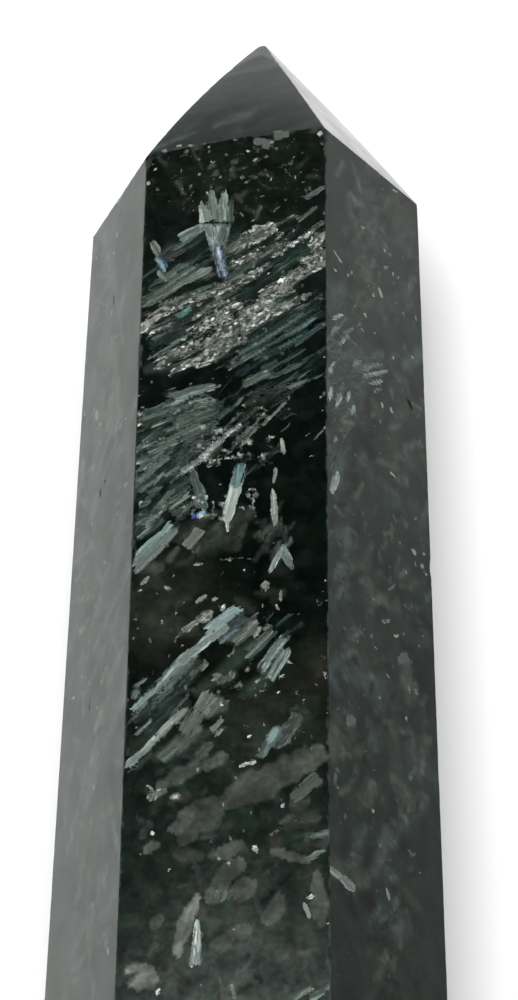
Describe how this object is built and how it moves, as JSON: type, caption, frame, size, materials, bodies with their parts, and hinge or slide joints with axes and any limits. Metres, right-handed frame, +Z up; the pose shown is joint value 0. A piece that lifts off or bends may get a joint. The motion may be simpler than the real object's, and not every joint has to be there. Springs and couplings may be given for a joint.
{
  "type": "astrophyllite point",
  "caption": "Six-sided polished stone point lying on a long face, with a six-faced tip, a flat base and silvery bladed crystals in near-black rock.",
  "frame": {"origin": "under the middle of the stone's bounding box, on the surface that it lies on", "axes": "+Y along the stone toward its tip, +Z up out of the face that it lies on, +X to the right when looking along +Y"},
  "size_m": [0.0268, 0.098, 0.0232],
  "materials": {
    "astrophyllite": "polished near-black rock with flush silvery, teal and bronze blades"
  },
  "bodies": {
    "root": {"point": "astrophyllite"}
  },
  "joints": []
}
